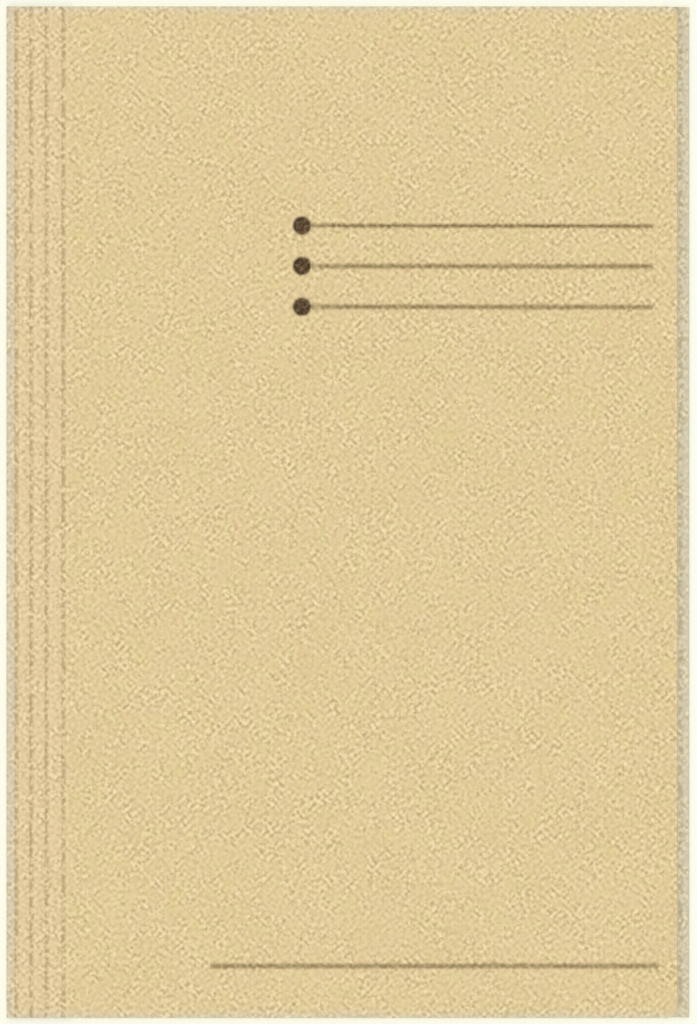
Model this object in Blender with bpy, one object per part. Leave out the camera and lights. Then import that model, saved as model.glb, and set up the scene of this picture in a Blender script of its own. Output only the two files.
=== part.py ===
"""Folio file folder: one sheet of manila card, die-cut, scored and folded.

It lies closed and empty on its back cover. X runs across the folder with the
spine at the left, Y runs up the page and Z is the thickness. The origin is
under the middle of the folder, on the surface that it lies on.

Every panel between two score lines is its own object, with its origin on the
score line that it bends about, parented to the panel that it bends from.
"""

import math

import bmesh
import bpy
from mathutils import Matrix, Vector

# Overall size of the closed folder, in metres
FOLDER_WIDTH = 0.2347
FOLDER_HEIGHT = 0.348
CARD_THICKNESS = 0.0004

# Air left between pieces that touch on the real folder
LAYER_GAP = 0.0003
SCORE_GAP = 0.0003

# Spine: panels between the score lines, counted outward from the fold
STRIP_1_WIDTH = 0.0033
STRIP_2_WIDTH = 0.0051
STRIP_3_WIDTH = 0.0053
STRIP_4_WIDTH = 0.0058

# Front cover: how far its free edge stops short of the side fold
COVER_STEP_BACK = 0.0039
COVER_CORNER_RADIUS = 0.0035

# Flaps folded in between the covers
SIDE_FLAP_DEPTH = 0.070
END_FLAP_DEPTH = 0.060
FLAP_CORNER_RADIUS = 0.006
FLAP_CORNER_RELIEF = 0.002
FLAP_SPINE_RELIEF = 0.003

# Card colour (linear) and finish
CARD_COLOUR = (0.752, 0.597, 0.332, 1.0)
CARD_ROUGHNESS = 0.85
ARC_STEPS = 6

# Places that follow from the sizes above
LEFT = -FOLDER_WIDTH / 2
RIGHT = FOLDER_WIDTH / 2
TOP = FOLDER_HEIGHT / 2
HALF_CARD = CARD_THICKNESS / 2
HALF_SCORE = SCORE_GAP / 2
BACK_LEVEL = 0.0
FLAP_LEVEL = BACK_LEVEL + CARD_THICKNESS + LAYER_GAP
FRONT_LEVEL = FLAP_LEVEL + CARD_THICKNESS + LAYER_GAP
FOLD_X = LEFT + CARD_THICKNESS
BACK_FACE = BACK_LEVEL + CARD_THICKNESS
STRIP_WIDTHS = (STRIP_1_WIDTH, STRIP_2_WIDTH, STRIP_3_WIDTH, STRIP_4_WIDTH)
SCORES = [LEFT + sum(STRIP_WIDTHS[: count + 1]) for count in range(len(STRIP_WIDTHS))]
FLAP_HINGE_LEVEL = BACK_FACE + LAYER_GAP / 2
COVER_HINGE_LEVEL = FRONT_LEVEL + CARD_THICKNESS + HALF_SCORE


def clear_scene():
    """Remove whatever the open file holds."""
    for existing in list(bpy.data.objects):
        bpy.data.objects.remove(existing, do_unlink=True)


def folder_collection():
    """The collection that holds every piece of the folder."""
    collection = bpy.data.collections.new("file_folder")
    bpy.context.scene.collection.children.link(collection)
    return collection


def card_material(name):
    """Uncoated manila card."""
    material = bpy.data.materials.new(name + "_card")
    material.use_nodes = True
    shader = material.node_tree.nodes["Principled BSDF"]
    shader.inputs["Base Color"].default_value = CARD_COLOUR
    shader.inputs["Roughness"].default_value = CARD_ROUGHNESS
    shader.inputs["Metallic"].default_value = 0.0
    return material


def place(piece, collection, hinge, parent):
    """Put a piece's origin on its hinge line and hang it from its parent."""
    collection.objects.link(piece)
    piece.data.materials.append(card_material(piece.name))
    piece.location = hinge
    if parent is not None:
        piece.parent = parent
        piece.location = hinge - world_origin(parent)


def world_origin(piece):
    """A piece's origin in the world: nothing is turned, so locations add up."""
    origin = piece.location.copy()
    while piece.parent is not None:
        piece = piece.parent
        origin += piece.location
    return origin


def card_box(name, low, high, collection, hinge, parent):
    """A straight strip of card between two opposite corners."""
    mesh = bpy.data.meshes.new(name)
    shape = bmesh.new()
    bmesh.ops.create_cube(shape, size=1.0)
    size = high - low
    middle = (low + high) / 2 - hinge
    bmesh.ops.transform(shape, matrix=Matrix.Diagonal(size.to_4d()), verts=shape.verts)
    bmesh.ops.translate(shape, vec=middle, verts=shape.verts)
    shape.to_mesh(mesh)
    shape.free()
    piece = bpy.data.objects.new(name, mesh)
    place(piece, collection, hinge, parent)
    return piece


def rounded_corner(before, corner, after, radius):
    """The points of the arc that rounds one corner of an outline."""
    if radius == 0.0:
        return [corner]
    toward_before = (before - corner).normalized()
    toward_after = (after - corner).normalized()
    half_angle = toward_before.angle(toward_after) / 2
    inward = (toward_before + toward_after).normalized()
    centre = corner + inward * (radius / math.sin(half_angle))
    start = corner + toward_before * (radius / math.tan(half_angle)) - centre
    turn = math.pi - 2 * half_angle
    points = []
    for step in range(ARC_STEPS + 1):
        turned = Matrix.Rotation(turn * step / ARC_STEPS, 2) @ start
        points.append(centre + turned)
    return points


def card_panel(name, corners, level, collection, hinge, parent):
    """A flat panel of card from its corners, each (x, y, radius), anticlockwise."""
    outline = []
    for index, (x, y, radius) in enumerate(corners):
        before = Vector(corners[index - 1][:2])
        after = Vector(corners[(index + 1) % len(corners)][:2])
        outline += rounded_corner(before, Vector((x, y)), after, radius)
    curve = bpy.data.curves.new(name, "CURVE")
    curve.dimensions = "2D"
    curve.fill_mode = "BOTH"
    curve.extrude = HALF_CARD
    spline = curve.splines.new("POLY")
    spline.points.add(len(outline) - 1)
    height = level + HALF_CARD - hinge.z
    for point, corner in zip(spline.points, outline):
        point.co = (corner.x - hinge.x, corner.y - hinge.y, 0.0, 1.0)
    spline.use_cyclic_u = True
    piece = mesh_from_curve(name, curve, height)
    place(piece, collection, hinge, parent)
    return piece


def mesh_from_curve(name, curve, height):
    """Turn a filled outline into one closed mesh at a height over its origin."""
    guide = bpy.data.objects.new(name + "_outline", curve)
    bpy.context.scene.collection.objects.link(guide)
    evaluated = guide.evaluated_get(bpy.context.evaluated_depsgraph_get())
    mesh = bpy.data.meshes.new_from_object(evaluated)
    mesh.name = name
    bpy.data.objects.remove(guide, do_unlink=True)
    shape = bmesh.new()
    shape.from_mesh(mesh)
    bmesh.ops.remove_doubles(shape, verts=shape.verts, dist=0.00001)
    bmesh.ops.recalc_face_normals(shape, faces=shape.faces)
    bmesh.ops.translate(shape, vec=(0.0, 0.0, height), verts=shape.verts)
    shape.to_mesh(mesh)
    shape.free()
    return bpy.data.objects.new(name, mesh)


def back_cover(collection):
    """The panel that the folder lies on, with a fold line on three sides."""
    left = SCORES[-1] + HALF_SCORE
    corners = [(left, -TOP, 0.0), (RIGHT, -TOP, 0.0), (RIGHT, TOP, 0.0), (left, TOP, 0.0)]
    origin = Vector((0.0, 0.0, BACK_LEVEL))
    return card_panel("back_cover", corners, BACK_LEVEL, collection, origin, None)


def spine_strip_edges(number):
    """Left and right edge of a spine strip, numbered outward from the fold."""
    right = SCORES[number - 1] - HALF_SCORE
    if number == 1:
        return FOLD_X + HALF_SCORE, right
    return SCORES[number - 2] + HALF_SCORE, right


def spine_strip(side, number, level, collection, hinge, parent):
    """One strip of the back or front half of the spine."""
    left, right = spine_strip_edges(number)
    low = Vector((left, -TOP, level))
    high = Vector((right, TOP, level + CARD_THICKNESS))
    name = side + "_spine_strip_" + str(number)
    return card_box(name, low, high, collection, hinge, parent)


def back_spine(collection, cover):
    """Four strips from the back cover out to the fold; each bends up."""
    parent = cover
    for number in range(len(STRIP_WIDTHS), 0, -1):
        hinge = Vector((SCORES[number - 1], 0.0, BACK_FACE))
        parent = spine_strip("back", number, BACK_LEVEL, collection, hinge, parent)
    return parent


def spine_fold(collection, strip):
    """The narrow upright face of the folded edge; it bends at both its inner corners."""
    hinge = Vector((FOLD_X, 0.0, BACK_FACE))
    low = Vector((LEFT, -TOP, BACK_FACE + HALF_SCORE))
    high = Vector((FOLD_X, TOP, FRONT_LEVEL - HALF_SCORE))
    return card_box("spine_fold", low, high, collection, hinge, strip)


def front_spine(collection, fold):
    """Four strips from the fold back to the front cover; each bends down."""
    hinge = Vector((FOLD_X, 0.0, FRONT_LEVEL))
    parent = spine_strip("front", 1, FRONT_LEVEL, collection, hinge, fold)
    for number in range(2, len(STRIP_WIDTHS) + 1):
        hinge = Vector((SCORES[number - 2], 0.0, FRONT_LEVEL))
        parent = spine_strip("front", number, FRONT_LEVEL, collection, hinge, parent)
    return parent


def front_cover(collection, strip):
    """The printed panel, with its two free corners rounded.

    It turns back over the spine, so its hinge line is just above the card.
    """
    left = SCORES[-1] + HALF_SCORE
    right = RIGHT - COVER_STEP_BACK
    radius = COVER_CORNER_RADIUS
    corners = [(left, -TOP, 0.0), (right, -TOP, radius), (right, TOP, radius), (left, TOP, 0.0)]
    hinge = Vector((SCORES[-1], 0.0, COVER_HINGE_LEVEL))
    return card_panel("front_cover", corners, FRONT_LEVEL, collection, hinge, strip)


def side_flap(collection, cover):
    """The flap along the free edge, mitred at both ends."""
    hinge = Vector((RIGHT + HALF_SCORE, 0.0, FLAP_HINGE_LEVEL))
    inner = RIGHT - SIDE_FLAP_DEPTH
    half_base = TOP - FLAP_CORNER_RELIEF
    half_tip = half_base - SIDE_FLAP_DEPTH
    radius = FLAP_CORNER_RADIUS
    corners = [(RIGHT, -half_base, 0.0), (RIGHT, half_base, 0.0)]
    corners += [(inner, half_tip, radius), (inner, -half_tip, radius)]
    return card_panel("side_flap", corners, FLAP_LEVEL, collection, hinge, cover)


def end_flap(name, direction, collection, cover):
    """The flap along the top (direction 1) or bottom (-1) edge, mitred at both ends."""
    hinge = Vector((0.0, direction * (TOP + HALF_SCORE), FLAP_HINGE_LEVEL))
    outer = direction * TOP
    inner = direction * (TOP - END_FLAP_DEPTH)
    base_left = SCORES[-1] + FLAP_SPINE_RELIEF
    base_right = RIGHT - FLAP_CORNER_RELIEF
    tip_left = base_left + END_FLAP_DEPTH
    tip_right = base_right - END_FLAP_DEPTH
    radius = FLAP_CORNER_RADIUS
    corners = [(base_right, outer, 0.0), (base_left, outer, 0.0)]
    corners += [(tip_left, inner, radius), (tip_right, inner, radius)]
    if direction < 0:
        corners.reverse()
    return card_panel(name, corners, FLAP_LEVEL, collection, hinge, cover)


def build_folder():
    """Every panel of the folder, closed."""
    clear_scene()
    collection = folder_collection()
    back = back_cover(collection)
    side_flap(collection, back)
    end_flap("top_flap", 1, collection, back)
    end_flap("bottom_flap", -1, collection, back)
    last_back_strip = back_spine(collection, back)
    fold = spine_fold(collection, last_back_strip)
    last_front_strip = front_spine(collection, fold)
    front_cover(collection, last_front_strip)


build_folder()
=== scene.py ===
import math

import bmesh
import bpy
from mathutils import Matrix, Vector


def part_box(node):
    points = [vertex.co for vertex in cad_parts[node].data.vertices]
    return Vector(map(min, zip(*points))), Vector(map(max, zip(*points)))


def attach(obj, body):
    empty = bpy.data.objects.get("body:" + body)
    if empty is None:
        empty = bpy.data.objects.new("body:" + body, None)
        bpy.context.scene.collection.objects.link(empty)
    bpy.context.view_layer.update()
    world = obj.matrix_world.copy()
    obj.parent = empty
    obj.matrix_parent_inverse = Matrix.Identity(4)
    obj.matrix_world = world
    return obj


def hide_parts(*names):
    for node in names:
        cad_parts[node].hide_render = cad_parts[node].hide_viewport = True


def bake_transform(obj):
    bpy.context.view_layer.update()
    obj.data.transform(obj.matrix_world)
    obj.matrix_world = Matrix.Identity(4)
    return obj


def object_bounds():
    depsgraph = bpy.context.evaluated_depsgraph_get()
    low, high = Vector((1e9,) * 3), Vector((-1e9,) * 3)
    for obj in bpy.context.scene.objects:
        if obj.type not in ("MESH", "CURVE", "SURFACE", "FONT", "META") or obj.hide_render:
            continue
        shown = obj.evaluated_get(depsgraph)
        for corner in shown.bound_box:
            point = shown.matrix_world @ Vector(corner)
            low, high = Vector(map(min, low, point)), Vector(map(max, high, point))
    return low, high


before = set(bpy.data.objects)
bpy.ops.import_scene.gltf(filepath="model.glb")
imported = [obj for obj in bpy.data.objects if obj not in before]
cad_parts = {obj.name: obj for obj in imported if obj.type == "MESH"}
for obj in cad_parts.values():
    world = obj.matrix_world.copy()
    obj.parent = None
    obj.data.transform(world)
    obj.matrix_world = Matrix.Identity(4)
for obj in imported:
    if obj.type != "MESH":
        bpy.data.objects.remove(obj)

CAD_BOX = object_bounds()

# Sizes in metres
MM = 0.001
EDGE_ROUND = 0.06 * MM
SLIT = 0.3 * MM
GROOVE_DEPTH = 0.10 * MM
GROOVE_SHOULDER = 0.06 * MM
GROOVE_STEPS = 12
GROOVE_SHADE_SHIFT = 0.2 * MM
SWELL_SHIFT = 1.7 * MM
INNER_BEAD = 0.03 * MM
FLAP_FOLD_BULGE = 0.22 * MM
FLAP_FOLD_HOLLOW = 0.06 * MM
SPECKLE_SHIFT = 1.15 * MM
INK_THICKNESS = 0.02 * MM
FLOOR_REACH = 6
FLOOR_DROP = 0.02 * MM

# Where the back and front halves of the sheet lie, read from the frame
BACK_LOW, BACK_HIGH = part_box("back_cover")
FRONT_LOW, FRONT_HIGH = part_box("front_cover")
SIDE_LOW, SIDE_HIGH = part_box("side_flap")
TOP_LOW, TOP_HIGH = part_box("top_flap")
FOLD_LOW, FOLD_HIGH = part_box("spine_fold")
STRIP_LOW, STRIP_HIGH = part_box("back_spine_strip_1")
HALF_HEIGHT = BACK_HIGH.y

COVER_CORNER = 3.5 * MM

# The side flap's shoulders, which show past the front cover's rounded corners
SHOULDER_X = FRONT_HIGH.x - 4.25 * MM
SHOULDER_Y = HALF_HEIGHT - 0.05 * MM
END_FLAP_STOP = SHOULDER_X - SLIT

# Score lines, from the spine's fold outward
SCORES = []
for inner, outer in (("1", "2"), ("2", "3"), ("3", "4"), ("4", "")):
    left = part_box("back_spine_strip_" + inner)[1].x
    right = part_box("back_spine_strip_" + outer)[0].x if outer else BACK_LOW.x
    SCORES.append((left + right) / 2)

# Printed marks on the front cover: each dot with its rule, and the long rule at the foot.
# A row gives the dot's height, the rule's height at its start and end, its thickness and its strength.
DOT_X = -15.6 * MM
DOT_RADIUS = 3.20 * MM
RULE_START = DOT_X + 3.05 * MM
RULE_END = 105.2 * MM
ROWS = ((98.56 * MM, 98.55 * MM, 98.35 * MM, 1.35 * MM, 1.0),
        (84.68 * MM, 84.62 * MM, 84.53 * MM, 1.62 * MM, 0.84),
        (70.65 * MM, 70.68 * MM, 70.50 * MM, 1.62 * MM, 0.84))
FOOT_START = -47.2 * MM
FOOT_END = 107.2 * MM
FOOT_Y = -156.14 * MM
FOOT_THICKNESS = 1.75 * MM
FOOT_STRENGTH = 0.78
INK_SOFT = 0.5 * MM
DOT_STEP_DEGREES = 5
RULE_STEPS = 150
RULE_FADE = 0.4 * MM


def srgb(red, green, blue):
    """A colour as it is seen on the card, 0 to 255, as the linear values that a shader takes."""
    values = []
    for part in (red, green, blue):
        c = part / 255
        values.append(c / 12.92 if c <= 0.04045 else ((c + 0.055) / 1.055) ** 2.4)
    return (*values, 1.0)


class Nodes:
    """Adds nodes to one material and joins them."""

    def __init__(self, name):
        self.material = bpy.data.materials.new(name)
        self.material.use_nodes = True
        self.tree = self.material.node_tree
        self.tree.nodes.clear()

    def add(self, kind, inputs=None, **settings):
        node = self.tree.nodes.new(kind)
        for key, value in settings.items():
            setattr(node, key, value)
        for key, value in (inputs or {}).items():
            self.put(node.inputs[key], value)
        return node

    def put(self, socket, value):
        if isinstance(value, bpy.types.NodeSocket):
            self.tree.links.new(value, socket)
        else:
            socket.default_value = value

    def math(self, operation, a, b=0.0, clamp=False):
        node = self.add("ShaderNodeMath", operation=operation, use_clamp=clamp)
        self.put(node.inputs[0], a)
        self.put(node.inputs[1], b)
        return node.outputs[0]

    def noise(self, vector, scale, detail=2.0, roughness=0.5, distortion=0.0):
        node = self.add("ShaderNodeTexNoise", {"Vector": vector, "Scale": scale, "Detail": detail,
                                               "Roughness": roughness, "Distortion": distortion})
        return node.outputs["Fac"]

    def speckle(self, vector, scale, shift):
        """Noise less the mean of four places round about, about 0, for evenly spaced pale and dark dots."""
        around = 0.0
        for way in ((shift, 0.0, 0.0), (-shift, 0.0, 0.0), (0.0, shift, 0.0), (0.0, -shift, 0.0)):
            moved = self.add("ShaderNodeVectorMath", {0: vector, 1: way}, operation="ADD")
            around = self.math("ADD", around, self.noise(moved.outputs[0], scale, 0.0))
        return self.math("SUBTRACT", self.noise(vector, scale, 0.0), self.math("MULTIPLY", around, 0.25))

    def flecks(self, vector, scale):
        """Scattered round flecks: how near the middle of one a point is, and a number to sort them."""
        node = self.add("ShaderNodeTexVoronoi", {"Vector": vector, "Scale": scale}, feature="F1")
        kind = self.add("ShaderNodeSeparateColor", {"Color": node.outputs["Color"]})
        return self.remap(node.outputs["Distance"], 0.50, 0.16), kind.outputs["Red"]

    def remap(self, value, low, high, to_low=0.0, to_high=1.0, smooth=True):
        node = self.add("ShaderNodeMapRange", {"Value": value, "From Min": low, "From Max": high,
                                               "To Min": to_low, "To Max": to_high},
                        interpolation_type="SMOOTHSTEP" if smooth else "LINEAR")
        return node.outputs["Result"]

    def mix(self, factor, a, b, blend="MIX"):
        node = self.add("ShaderNodeMix", data_type="RGBA", blend_type=blend)
        self.put(node.inputs[0], factor)
        self.put(node.inputs[6], a)
        self.put(node.inputs[7], b)
        return node.outputs[2]

    def stretched(self, vector, scale, turn, offset):
        """The coordinates turned in the sheet's plane and stretched, for fibres."""
        node = self.add("ShaderNodeMapping", {"Vector": vector, "Scale": scale, "Location": offset,
                                              "Rotation": (0.0, 0.0, math.radians(turn))})
        return node.outputs[0]


def score_lines(n, x):
    """How deep in a pressed score line a point is, and how high on the swell beside it, each 0 to 1. Both
    shape the bump, and they also place the painted shade in the crease and the painted highlight on the
    swell.
    """
    groove, swell = 0.0, 0.0
    for score in SCORES:
        near = n.math("ABSOLUTE", n.math("SUBTRACT", x, score + GROOVE_SHADE_SHIFT))
        beside = n.math("ABSOLUTE", n.math("SUBTRACT", x, score + SWELL_SHIFT))
        groove = n.math("ADD", groove, n.remap(near, 1.25 * MM, 0.10 * MM))
        swell = n.math("ADD", swell, n.remap(beside, 1.0 * MM, 0.0))
    return groove, swell


def past_cover(n, x, y):
    """How far out a point is past the front cover's free edge and its two rounded corners."""
    across = n.math("MAXIMUM", n.math("SUBTRACT", x, FRONT_HIGH.x - COVER_CORNER), 0.0)
    along = n.math("MAXIMUM", n.math("SUBTRACT", n.math("ABSOLUTE", y), HALF_HEIGHT - COVER_CORNER), 0.0)
    reach = n.math("SQRT", n.math("ADD", n.math("POWER", across, 2.0), n.math("POWER", along, 2.0)))
    return n.math("SUBTRACT", reach, COVER_CORNER)


def outer_face(n, x, z):
    """1 on the faces that a hand reaches on the closed folder, 0 on those inside it."""
    inside = 0.0
    for low, high in ((BACK_HIGH.z, SIDE_LOW.z), (FRONT_LOW.z, FRONT_LOW.z)):
        above = n.math("GREATER_THAN", z, low - EDGE_ROUND)
        below = n.math("LESS_THAN", z, high + EDGE_ROUND)
        inside = n.math("MAXIMUM", inside, n.math("MULTIPLY", above, below))
    panels = n.math("LESS_THAN", x, SIDE_HIGH.x - EDGE_ROUND)
    return n.math("SUBTRACT", 1.0, n.math("MULTIPLY", inside, panels))


def sheet_material(name, ink=None):
    """Uncoated manila card: mottled pulp with light and dark flecks, fine fibres, score lines pressed in by
    the spine with painted shade in their creases and a painted highlight beside them, edges greyed with
    painted shade of the rounded folds, a painted shadow and a painted paler band on the side flap at the
    front cover's free edge, and paler cut edges. Where ink is given, as its dark, light and thin colours, it
    is soaked in as far as the mesh's ink values say."""
    n = Nodes(name)
    coordinates = n.add("ShaderNodeTexCoord").outputs["Object"]
    parts = n.add("ShaderNodeSeparateXYZ", {"Vector": coordinates})
    x, y, z = parts.outputs["X"], parts.outputs["Y"], parts.outputs["Z"]

    def over(base, amount, strength, colour):
        return n.mix(n.math("MULTIPLY", amount, strength), base, colour)

    # Broad clouds that drift between a pinker and a greener buff
    clouds = n.noise(coordinates, 42.0, 3.0, 0.6)
    drift = n.noise(n.stretched(coordinates, (1.0, 1.0, 1.0), 0.0, (0.9, 0.3, 0.0)), 130.0, 1.0, 0.5)
    base = n.mix(n.remap(clouds, 0.3, 0.7), srgb(222, 200, 147), srgb(226, 204, 153))
    base = n.mix(n.remap(drift, 0.35, 0.65, 0.0, 0.5), base, srgb(225, 199, 154))
    base = n.mix(n.remap(drift, 0.50, 0.30, 0.0, 0.5), base, srgb(220, 204, 145))

    # The spine is a little pinker
    base = over(base, n.remap(x, SCORES[3] + 3.0 * MM, SCORES[3] - 2.0 * MM), 0.45, srgb(231, 203, 166))

    # Painted shade of the rounded folds: greyer beside the two long folds, and just along the top and foot
    middle = (CAD_BOX[0].x + CAD_BOX[1].x) / 2
    side = n.math("SUBTRACT", (CAD_BOX[1].x - CAD_BOX[0].x) / 2,
                  n.math("ABSOLUTE", n.math("SUBTRACT", x, middle)))
    foot = n.math("SUBTRACT", HALF_HEIGHT, n.math("ABSOLUTE", y))
    ragged = n.math("MULTIPLY", n.math("SUBTRACT", clouds, 0.5), 3.0 * MM)
    painted_fold_shade = n.math("MAXIMUM", n.remap(n.math("ADD", side, ragged), 3.8 * MM, 1.4 * MM),
                  n.remap(n.math("ADD", foot, ragged), 3.4 * MM, 0.2 * MM, 0.0, 0.75))
    past = past_cover(n, x, y)
    outside = outer_face(n, x, z)
    # The painted fold shade also covers the side flap past the front cover's free edge, on outer faces only
    painted_fold_shade = n.math("MULTIPLY", n.math("MAXIMUM", painted_fold_shade, n.remap(past, 0.0, 0.3 * MM)), outside)
    base = over(base, painted_fold_shade, 0.90, srgb(209, 202, 179))

    # Pale and dark dots about a millimetre across, strong in some places and faint in others
    mottle = n.noise(coordinates, 640.0, 0.6, 0.45)
    grain = n.noise(coordinates, 3200.0, 2.0, 0.6)
    crowded = n.remap(n.noise(coordinates, 210.0, 1.0, 0.5), 0.32, 0.68, 0.50, 1.40)
    dots = n.math("MULTIPLY", n.speckle(coordinates, 700.0, SPECKLE_SHIFT), crowded)
    base = over(base, n.remap(dots, 0.0, 0.64, smooth=False), 1.0, srgb(253, 234, 189))
    base = over(base, n.remap(dots, 0.0, -0.62, smooth=False), 1.0, srgb(178, 155, 106))

    # Small flecks scattered among them
    near, kind = n.flecks(coordinates, 740.0)
    near = n.math("MULTIPLY", near, crowded)
    base = over(base, n.math("MULTIPLY", near, n.math("LESS_THAN", kind, 0.44)), 0.36, srgb(184, 161, 112))
    base = over(base, n.math("MULTIPLY", near, n.math("GREATER_THAN", kind, 0.64)), 0.36, srgb(253, 234, 189))

    # Fibres lying two ways across each other
    one = n.noise(n.stretched(coordinates, (420.0, 3000.0, 600.0), 28.0, (3.0, 1.0, 0.0)),
                  1.0, 1.0, 0.4, 0.6)
    two = n.noise(n.stretched(coordinates, (380.0, 2700.0, 600.0), -47.0, (9.0, 4.0, 0.0)),
                  1.0, 1.0, 0.4, 0.6)
    fibres = n.math("MAXIMUM", n.remap(one, 0.62, 0.74), n.remap(two, 0.63, 0.75))
    base = over(base, fibres, 0.26, srgb(196, 172, 122))
    base = over(base, n.remap(grain, 0.35, 0.65), 0.08, srgb(250, 238, 208))

    # Score lines: painted shade darkens each crease, its strength broken into dots by noise, and a painted
    # highlight lies on the swell beside it
    groove, swell = score_lines(n, x)
    broken = n.remap(n.noise(coordinates, 620.0, 0.0, 0.5), 0.38, 0.62, 0.08, 1.50)
    base = over(base, n.math("MULTIPLY", groove, broken), 0.43, srgb(171, 148, 104))
    # Painted highlight on the swell beside each crease
    base = over(base, swell, 0.14, srgb(240, 222, 182))

    # Painted shadow of the front cover's free edge on the side flap, in dots, and a painted paler band right
    # at the edge that lightens the shadow there
    beside = n.math("MULTIPLY", n.remap(past, 3.0 * MM, 1.0 * MM),
                    n.remap(past, 0.1 * MM, 0.9 * MM))
    painted_light_at_cover_edge = n.math("MULTIPLY", n.remap(past, 0.7 * MM, 0.1 * MM),
                   n.math("GREATER_THAN", past, 0.0))
    beside = n.math("MULTIPLY", beside, broken)
    # Painted shadow cast by the front cover's edge
    base = over(base, n.math("MULTIPLY", beside, outside), 0.46, srgb(166, 158, 126))
    # Painted light: a paler band right at the front cover's edge
    base = over(base, n.math("MULTIPLY", painted_light_at_cover_edge, outside), 0.55, srgb(240, 231, 202))

    # Cut edges show the raw pulp
    normal = n.add("ShaderNodeSeparateXYZ", {"Vector": n.add("ShaderNodeTexCoord").outputs["Normal"]})
    cut = n.remap(n.math("ABSOLUTE", normal.outputs["Z"]), 0.55, 0.15)
    base = over(base, cut, 0.45, srgb(233, 219, 184))

    roughness = n.remap(mottle, 0.3, 0.7, 0.80, 0.92)
    if ink:
        dark, light, thin = ink
        soaked = n.noise(coordinates, 700.0, 3.0, 0.65)
        missed = n.noise(n.stretched(coordinates, (1.0, 1.0, 1.0), 20.0, (0.2, 0.4, 0.0)), 950.0, 0.0, 0.5)
        colour = n.mix(n.remap(soaked, 0.32, 0.68), dark, light)
        colour = over(colour, n.remap(missed, 0.56, 0.70), 0.45, thin)
        cover = n.add("ShaderNodeAttribute", attribute_name="ink").outputs["Fac"]
        cover = n.math("MULTIPLY", cover, n.remap(soaked, 0.66, 0.46, 0.88, 1.0))
        base = n.mix(cover, base, colour)
        roughness = n.math("SUBTRACT", roughness, n.math("MULTIPLY", cover, 0.14))

    surface = n.math("ADD", n.math("MULTIPLY", mottle, 0.5), n.math("MULTIPLY", grain, 0.35))
    surface = n.math("ADD", surface, n.math("MULTIPLY", fibres, 0.12))
    texture = n.add("ShaderNodeBump", {"Strength": 0.55, "Distance": 0.03 * MM, "Height": surface})
    relief = n.math("SUBTRACT", n.math("MULTIPLY", swell, 0.3), groove)
    pressed = n.add("ShaderNodeBump", {"Strength": 1.0, "Distance": 0.10 * MM, "Height": relief,
                                       "Normal": texture.outputs["Normal"]})
    shader = n.add("ShaderNodeBsdfPrincipled", {"Base Color": base, "Roughness": roughness,
                                                "Specular IOR Level": 0.22, "Sheen Weight": 0.06,
                                                "Sheen Roughness": 0.6,
                                                "Normal": pressed.outputs["Normal"]})
    output = n.add("ShaderNodeOutputMaterial")
    n.put(output.inputs["Surface"], shader.outputs[0])
    return n.material


CARD_MATERIAL = sheet_material("manila_card")
DOT_INK = sheet_material("brown_ink_solid", (srgb(61, 41, 16), srgb(82, 60, 31), srgb(101, 78, 47)))
RULE_INK = sheet_material("brown_ink_thin", (srgb(122, 100, 62), srgb(152, 131, 88), srgb(182, 159, 117)))


def mesh_object(name, vertices, faces, material):
    mesh = bpy.data.meshes.new(name)
    mesh.from_pydata(vertices, [], faces)
    mesh.update()
    mesh.materials.append(material)
    made = bpy.data.objects.new(name, mesh)
    bpy.context.scene.collection.objects.link(made)
    return made


def face_outward(mesh):
    work = bmesh.new()
    work.from_mesh(mesh)
    bmesh.ops.recalc_face_normals(work, faces=work.faces)
    work.to_mesh(mesh)
    work.free()


def inset(outline, distance):
    """The closed outline, drawn in by that distance."""
    drawn = []
    count = len(outline)
    for index in range(count):
        before, here, after = (Vector(outline[(index + k) % count]) for k in (-1, 0, 1))
        one = (here - before).normalized()
        two = (after - here).normalized()
        normal_one = Vector((-one.y, one.x))
        normal_two = Vector((-two.y, two.x))
        middle = (normal_one + normal_two).normalized()
        point = here + middle * (distance / max(middle.dot(normal_one), 0.3))
        drawn.append((point.x, point.y))
    return drawn


def outline_of(node):
    """The node's outline seen from above, anticlockwise. Every panel's outline is convex."""
    points = {(round(v.co.x, 7), round(v.co.y, 7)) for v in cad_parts[node].data.vertices}
    centre = Vector((sum(p[0] for p in points), sum(p[1] for p in points))) / len(points)
    return sorted(points, key=lambda p: math.atan2(p[1] - centre.y, p[0] - centre.x))


def squared_corners(node, outline):
    """The side flap's shoulders fill both corners of the folder, and the end flaps stop beside them."""
    drawn = []
    for px, py in outline:
        way = 1 if py > 0 else -1
        if node == "side_flap" and px > SIDE_HIGH.x - SLIT:
            meets = abs(py) - (px - SHOULDER_X)
            corner = [(px, way * SHOULDER_Y), (SHOULDER_X, way * SHOULDER_Y), (SHOULDER_X, way * meets)]
        elif node in ("top_flap", "bottom_flap") and px > END_FLAP_STOP:
            meets = abs(py) - (px - END_FLAP_STOP)
            corner = [(END_FLAP_STOP, way * meets), (END_FLAP_STOP, py)]
        else:
            corner = [(px, py)]
        drawn += corner if way > 0 else corner[::-1]
    return drawn


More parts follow.
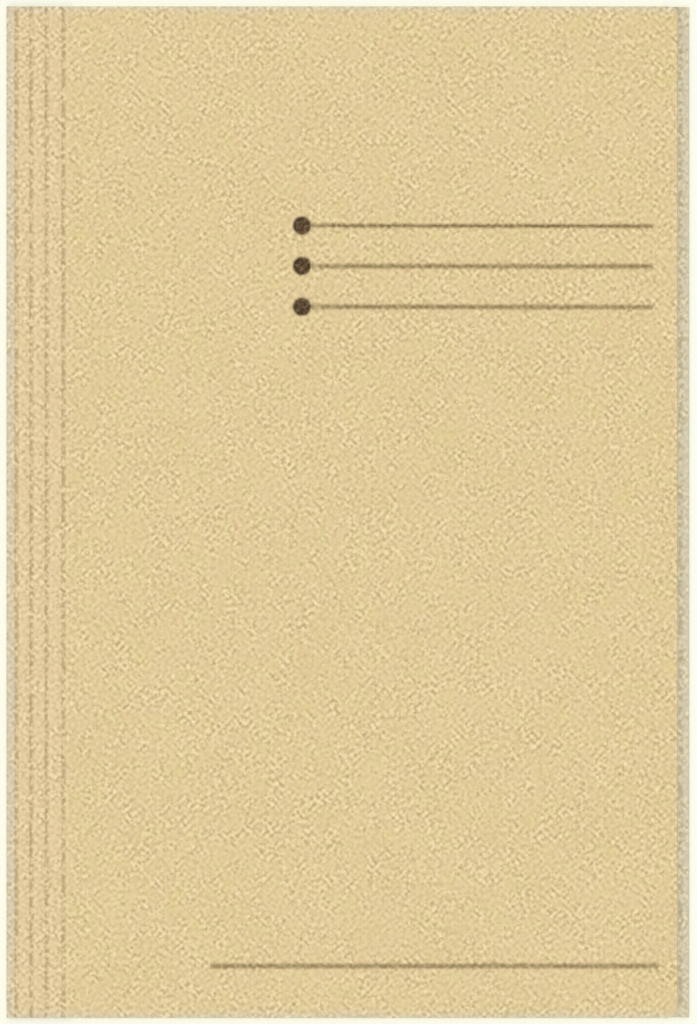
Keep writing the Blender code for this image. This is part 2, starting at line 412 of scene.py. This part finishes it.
def card_panel(node, body):
    """A panel of card in place of the node, with its cut edges rounded."""
    low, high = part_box(node)
    outline = squared_corners(node, outline_of(node))
    profile = ((1.0, low.z), (0.3, low.z + 0.3 * EDGE_ROUND), (0.0, low.z + EDGE_ROUND),
               (0.0, high.z - EDGE_ROUND), (0.3, high.z - 0.3 * EDGE_ROUND), (1.0, high.z))
    vertices, faces = [], []
    count = len(outline)
    for drawn_in, z in profile:
        vertices += [(px, py, z) for px, py in inset(outline, drawn_in * EDGE_ROUND)]
    for ring in range(len(profile) - 1):
        for index in range(count):
            a = ring * count + index
            b = ring * count + (index + 1) % count
            faces.append((a, b, b + count, a + count))
    faces.append(tuple(reversed(range(count))))
    faces.append(tuple(range(count * (len(profile) - 1), count * len(profile))))
    panel = mesh_object(node + "_card", vertices, faces, CARD_MATERIAL)
    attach(panel, body)
    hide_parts(node)
    return panel


def strip_along(name, profile, along, start, end, steps=1):
    """A closed profile of (across, height) points, drawn out along X or Y with closed ends."""
    vertices, faces = [], []
    count = len(profile)
    for step in range(steps + 1):
        place = start + (end - start) * step / steps
        for across, height in profile:
            vertices.append((place, across, height) if along == "X" else (across, place, height))
    for step in range(steps):
        for index in range(count):
            a = step * count + index
            b = step * count + (index + 1) % count
            faces.append((a, b, b + count, a + count))
    faces.append(tuple(reversed(range(count))))
    faces.append(tuple(range(steps * count, (steps + 1) * count)))
    made = mesh_object(name, vertices, faces, CARD_MATERIAL)
    made.data.validate()
    face_outward(made.data)
    return made


def crease(name, x, outer, inner):
    """The thinned card at a score line: a groove on the outer face and a low bead inside."""
    out = 1.0 if outer > inner else -1.0
    outside, inside = [], []
    for index in range(GROOVE_STEPS + 1):
        across = (index / GROOVE_STEPS - 0.5) * SLIT
        hollow = math.cos(math.pi * across / SLIT) ** 2
        depth = GROOVE_SHOULDER + (GROOVE_DEPTH - GROOVE_SHOULDER) * hollow
        outside.append((x + across, outer - out * depth))
        inside.append((x + across, inner - out * INNER_BEAD * hollow))
    profile = outside + inside[::-1]
    return strip_along(name, profile, "Y", -HALF_HEIGHT, HALF_HEIGHT)


def flap_fold(name, edge, outward, along, start, end):
    """The rounded fold between the back cover and a flap, standing just proud of their edges."""
    low = BACK_LOW.z
    high = SIDE_HIGH.z
    centre = (low + high) / 2
    profile = []
    for index in range(13):
        turn = math.radians(-90 + 15 * index)
        profile.append((edge + outward * FLAP_FOLD_BULGE * math.cos(turn),
                        centre + (high - centre) * math.sin(turn)))
    for index in range(8, -1, -1):
        turn = math.radians(-90 + 22.5 * index)
        profile.append((edge + outward * FLAP_FOLD_HOLLOW * math.cos(turn),
                        centre + (SIDE_LOW.z - centre) * math.sin(turn)))
    return strip_along(name, profile, along, start, end)


# Panels
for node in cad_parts:
    if node != "spine_fold":
        card_panel(node, "back_cover" if node == "back_spine_strip_4" else node)

# Creases at the score lines of both halves
BACK_CHAIN = ("back_spine_strip_1", "back_spine_strip_2", "back_spine_strip_3", "back_cover")
FRONT_CHAIN = ("front_spine_strip_1", "front_spine_strip_2", "front_spine_strip_3", "front_spine_strip_4")
for number in (1, 2, 3):
    x = SCORES[number - 1]
    for half, chain, outer, inner in (("back", BACK_CHAIN, BACK_LOW.z, BACK_HIGH.z),
                                      ("front", FRONT_CHAIN, FRONT_HIGH.z, FRONT_LOW.z)):
        made = crease(half + "_crease_" + str(number), x, outer, inner)
        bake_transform(made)
x = SCORES[3]
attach(crease("back_crease_4", x, BACK_LOW.z, BACK_HIGH.z), "back_cover")
made = crease("front_crease_4", x, FRONT_HIGH.z, FRONT_LOW.z)
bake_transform(made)

# The spine's rounded fold: a lower curve, an upright middle and an upper curve
inner_x = FOLD_HIGH.x
outer_x = FOLD_LOW.x
radius = inner_x - outer_x
join_x = STRIP_LOW.x
lower = [(join_x, BACK_LOW.z)]
for index in range(9):
    turn = math.radians(11.25 * index)
    lower.append((inner_x - radius * math.sin(turn), BACK_HIGH.z - radius * math.cos(turn)))
lower += [(inner_x, BACK_HIGH.z), (join_x, BACK_HIGH.z)]
made = strip_along("spine_fold_lower", lower, "Y", -HALF_HEIGHT, HALF_HEIGHT)
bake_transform(made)

upright = [(outer_x, BACK_HIGH.z), (outer_x, FRONT_LOW.z), (inner_x, FRONT_LOW.z), (inner_x, BACK_HIGH.z)]
made = strip_along("spine_fold_upright", upright, "Y", -HALF_HEIGHT, HALF_HEIGHT, 6)
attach(made, "spine_fold")
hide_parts("spine_fold")

# The upper curve runs on past a quarter turn, so that the fold stays closed outside when it opens
upper = [(join_x, FRONT_HIGH.z)]
for index in range(13):
    turn = math.radians(11.25 * index)
    upper.append((inner_x - radius * math.sin(turn), FRONT_LOW.z + radius * math.cos(turn)))
upper += [(inner_x, FRONT_LOW.z), (join_x, FRONT_LOW.z)]
made = strip_along("spine_fold_upper", upper, "Y", -HALF_HEIGHT, HALF_HEIGHT)
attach(made, "front_spine_strip_1")

# Rounded folds of the three flaps
made = flap_fold("side_flap_fold_card", SIDE_HIGH.x, 1, "Y", -SHOULDER_Y, SHOULDER_Y)
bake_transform(made)
made = flap_fold("top_flap_fold_card", TOP_HIGH.y, 1, "X", TOP_LOW.x, END_FLAP_STOP)
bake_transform(made)
made = flap_fold("bottom_flap_fold_card", -TOP_HIGH.y, -1, "X", TOP_LOW.x, END_FLAP_STOP)
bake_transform(made)


def printed(name, rings, ink):
    """A thin printed mark on the front cover, lofted over closed rings of (x, y, z, ink)."""
    points = [point for ring in rings for point in ring]
    count = len(rings[0])
    last = count * (len(rings) - 1)
    faces = [tuple(reversed(range(count))), tuple(range(last, last + count))]
    for ring in range(len(rings) - 1):
        for index in range(count):
            a = ring * count + index
            b = ring * count + (index + 1) % count
            faces.append((a, b, b + count, a + count))
    mark = mesh_object(name, [point[:3] for point in points], faces, ink)
    values = mark.data.attributes.new(name="ink", type="FLOAT", domain="POINT")
    values.data.foreach_set("value", [point[3] for point in points])
    face_outward(mark.data)
    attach(mark, "front_cover")
    return mark


def dot(name, y, number):
    """A round printed dot with a slightly uneven, soft rim."""
    low = FRONT_HIGH.z
    rings = []
    for out, z, ink in ((INK_SOFT, low, 0.0), (INK_SOFT - INK_THICKNESS, low + INK_THICKNESS, 0.0),
                        (-INK_SOFT, low + INK_THICKNESS, 1.0)):
        ring = []
        for index in range(360 // DOT_STEP_DEGREES):
            turn = math.radians(DOT_STEP_DEGREES * index)
            uneven = 1.0 + 0.008 * math.sin(7 * turn + number) + 0.006 * math.sin(17 * turn)
            reach = DOT_RADIUS * uneven + out
            ring.append((DOT_X + reach * math.cos(turn), y + reach * math.sin(turn), z, ink))
        rings.append(ring)
    return printed(name, rings, DOT_INK)


def rule(name, start, end, heights, thickness, strength, fade_in):
    """A printed rule with soft, slightly wavering edges. Beside a dot it starts pale, else it fades in."""
    low = FRONT_HIGH.z
    high = low + 1.5 * INK_THICKNESS
    if fade_in:
        stations = [(start - RULE_FADE, 0.0), (start + RULE_FADE, strength)]
    else:
        stations = [(start, 0.95 * strength), (start + 1.6 * MM, 0.70 * strength),
                    (start + 2.6 * MM, 0.72 * strength), (start + 3.6 * MM, strength)]
    first = stations[-1][0] + 0.5 * MM
    stations += [(first + (end - MM - first) * k / RULE_STEPS, strength)
                 for k in range(RULE_STEPS + 1)]
    stations += [(end - RULE_FADE, strength), (end + RULE_FADE, 0.0)]
    rings = []
    for index, (place, ink) in enumerate(stations):
        y = heights[0] + (heights[1] - heights[0]) * (place - start) / (end - start)
        below = thickness * (0.5 + 0.04 * math.sin(index * 1.7) + 0.03 * math.sin(index * 4.3 + 1.0))
        above = thickness * (0.5 + 0.04 * math.sin(index * 2.3) + 0.03 * math.cos(index * 5.1))
        rings.append([(place, y - below - INK_SOFT, low, 0.0),
                      (place, y - below - INK_SOFT + INK_THICKNESS, high, 0.0),
                      (place, y - below + INK_SOFT, high, ink),
                      (place, y + above - INK_SOFT, high, ink),
                      (place, y + above + INK_SOFT - INK_THICKNESS, high, 0.0),
                      (place, y + above + INK_SOFT, low, 0.0)])
    return printed(name, rings, RULE_INK)


for number, (dot_y, start_y, end_y, thickness, strength) in enumerate(ROWS, 1):
    dot("dot_" + str(number), dot_y, number)
    rule("rule_" + str(number), RULE_START, RULE_END, (start_y, end_y), thickness, strength, False)
rule("foot_rule", FOOT_START, FOOT_END, (FOOT_Y, FOOT_Y), FOOT_THICKNESS, FOOT_STRENGTH, True)

# Floor
n = Nodes("pale_floor")
coordinates = n.add("ShaderNodeTexCoord").outputs["Object"]
tone = n.mix(n.noise(coordinates, 3.0, 1.0, 0.5), srgb(252, 253, 240), srgb(253, 254, 242))
shader = n.add("ShaderNodeBsdfDiffuse", {"Color": tone, "Roughness": 0.0})
output = n.add("ShaderNodeOutputMaterial")
n.put(output.inputs["Surface"], shader.outputs[0])
corners = [(FLOOR_REACH * across, FLOOR_REACH * along, 0)
           for across, along in ((-1, -1), (1, -1), (1, 1), (-1, 1))]
floor = mesh_object("floor", corners, [(0, 1, 2, 3)], n.material)
floor.location.z = -FLOOR_DROP

# Light: an even pale sky, and a broad soft lamp from the left
world = bpy.data.worlds.new("studio")
bpy.context.scene.world = world
world.use_nodes = True
tree = world.node_tree
background = tree.nodes["Background"]
background.inputs["Strength"].default_value = 1.0
seen = tree.nodes.new("ShaderNodeLightPath")
sky = tree.nodes.new("ShaderNodeMix")
sky.data_type = "RGBA"
sky.inputs[6].default_value = (0.72, 0.72, 0.709, 1.0)
sky.inputs[7].default_value = srgb(253, 254, 240)
tree.links.new(seen.outputs["Is Camera Ray"], sky.inputs[0])
tree.links.new(sky.outputs[2], background.inputs["Color"])

lamp = bpy.data.lights.new("left_lamp", "SUN")
lamp.energy = 0.97
lamp.angle = math.radians(35)
lamp.color = (1.0, 0.995, 0.98)
lamp_object = bpy.data.objects.new("left_lamp", lamp)
lamp_object.rotation_euler = Vector((-0.6, 0.2, 1.45)).to_track_quat("Z", "Y").to_euler()
bpy.context.scene.collection.objects.link(lamp_object)

# Camera straight above the closed folder
camera_data = bpy.data.cameras.new("camera")
camera_data.lens = 100
camera_data.sensor_width = 36
camera_data.clip_start = 0.01
camera_data.clip_end = 50
camera = bpy.data.objects.new("camera", camera_data)
camera.location = (0.40 * MM, 0.05 * MM, 0.9803)
camera.rotation_euler = (0, 0, 0)
bpy.context.scene.collection.objects.link(camera)
bpy.context.scene.camera = camera

bpy.context.scene.view_settings.view_transform = "Standard"
